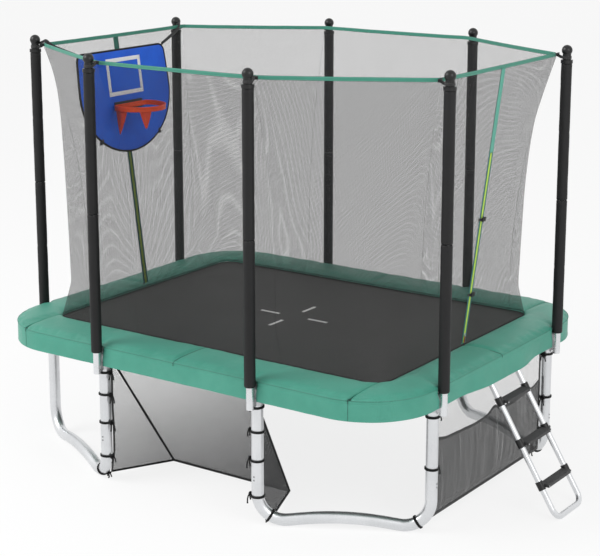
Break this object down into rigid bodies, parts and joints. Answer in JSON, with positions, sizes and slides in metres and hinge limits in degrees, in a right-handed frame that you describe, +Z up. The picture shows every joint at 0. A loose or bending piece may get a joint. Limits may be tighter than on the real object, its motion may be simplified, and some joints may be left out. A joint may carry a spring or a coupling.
{
  "type": "trampoline",
  "caption": "Rectangular garden trampoline with safety net, padded edge, W-shaped legs, ladder, backboard with hoop, storage net and goal net under the frame.",
  "frame": {"origin": "on the ground under the middle of the jumping mat", "axes": "+X towards the short side with the ladder, +Y towards the long side away from the goal net, +Z up"},
  "size_m": [3.6384, 2.641, 2.7235],
  "materials": {
    "galvanized_steel": "galvanized, satin",
    "pole_steel": "galvanized, satin",
    "bolt_steel": "zinc plated",
    "clamp_steel": "zinc plated",
    "foam_black": "foam sleeve in black sheeting",
    "cap_black": "moulded, slightly glossy",
    "spring_steel": "galvanized wire",
    "mat_fabric": "woven, dark grey",
    "pad_green": "coated sheeting over foam, sea green",
    "net_grey": "fine mesh, grey",
    "band_green": "webbing, dark green",
    "webbing_black": "webbing, black",
    "zip_lime": "zipper tape, yellow green",
    "slider_red": "metal slider with red pull",
    "buckle_black": "moulded",
    "board_blue": "coated sheeting, royal blue",
    "hoop_orange": "orange red",
    "hoop_flap": "orange fabric",
    "step_grey": "dark grey, ribbed",
    "bag_mesh": "mesh, dark grey",
    "goal_mesh": "mesh, grey"
  },
  "bodies": {
    "frame": {"frame_rail_near": "galvanized_steel", "frame_rail_right": "galvanized_steel", "frame_rail_far": "galvanized_steel", "frame_rail_left": "galvanized_steel", "frame_corners": "galvanized_steel", "leg_base_near_left": "galvanized_steel", "leg_base_near_right": "galvanized_steel", "leg_base_far_right": "galvanized_steel", "leg_base_far_left": "galvanized_steel", "leg_posts": "galvanized_steel", "pole_clamps": "clamp_steel", "bolts_and_screws": "bolt_steel", "pole_near_left": "pole_steel", "pole_near_right": "pole_steel", "pole_right_near": "pole_steel", "pole_right_far": "pole_steel", "pole_far_right": "pole_steel", "pole_far_left": "pole_steel", "pole_left_far": "pole_steel", "pole_left_near": "pole_steel", "foam_lower": "foam_black", "foam_upper": "foam_black", "pole_caps": "cap_black", "springs": "spring_steel", "pad_near": "pad_green", "pad_right": "pad_green", "pad_far": "pad_green", "pad_left": "pad_green", "skirt_near": "pad_green", "skirt_far": "pad_green", "skirt_left": "pad_green", "skirt_corners": "pad_green", "net_near": "net_grey", "net_right": "net_grey", "net_far": "net_grey", "net_left": "net_grey", "net_corners": "net_grey", "top_band": "band_green", "net_loops": "webbing_black", "door_zippers": "zip_lime", "buckle_sockets": "buckle_black", "backboard": "board_blue", "board_straps": "webbing_black", "hoop_bracket": "buckle_black", "hoop_ring": "hoop_orange", "hoop_net": "hoop_flap", "storage_backing": "bag_mesh", "storage_net": "bag_mesh", "goal_net": "goal_mesh", "goal_net_edging": "webbing_black"},
    "mat": {"mat": "mat_fabric", "mat_rings": "bolt_steel"},
    "ladder": {"ladder_rails": "galvanized_steel", "ladder_steps": "step_grey", "step_ends": "cap_black"},
    "skirt_flap": {"skirt_right": "pad_green"},
    "zip_slider_right": {"zip_slider_right": "slider_red"},
    "zip_slider_left": {"zip_slider_left": "slider_red"},
    "buckle_tongue_upper": {"buckle_tongue_upper": "buckle_black"},
    "buckle_tongue_lower": {"buckle_tongue_lower": "buckle_black"}
  },
  "joints": [
    {"name": "mat_bounce", "type": "slide", "parent": "frame", "child": "mat", "axis": [0, 0, 1], "range_m": [-0.3, 0], "stiffness_N_per_m": 5000, "springref_m": 0.03, "deforming": ["springs"]},
    {"name": "ladder_swing", "type": "hinge", "parent": "frame", "child": "ladder", "pos_m": [1.487, 0, 0.86], "axis": [0, -1, 0], "range_deg": [0, 30]},
    {"name": "flap_swing", "type": "hinge", "parent": "frame", "child": "skirt_flap", "pos_m": [1.546, 0, 0.896], "axis": [0, -1, 0], "range_deg": [0, 37]},
    {"name": "zip_run_right", "type": "slide", "parent": "frame", "child": "zip_slider_right", "axis": [0.1306, 0, 0.9914], "range_m": [0, 1.1]},
    {"name": "zip_run_left", "type": "slide", "parent": "frame", "child": "zip_slider_left", "axis": [-0.1306, 0, 0.9914], "range_m": [0, 0.85]},
    {"name": "buckle_pull_upper", "type": "slide", "parent": "frame", "child": "buckle_tongue_upper", "axis": [0, -1, 0], "range_m": [0, 0.03]},
    {"name": "buckle_pull_lower", "type": "slide", "parent": "frame", "child": "buckle_tongue_lower", "axis": [0, -1, 0], "range_m": [0, 0.03]}
  ],
  "couplings": [
    {"joint": "flap_swing", "follows": "ladder_swing", "ratio": 1.2}
  ]
}
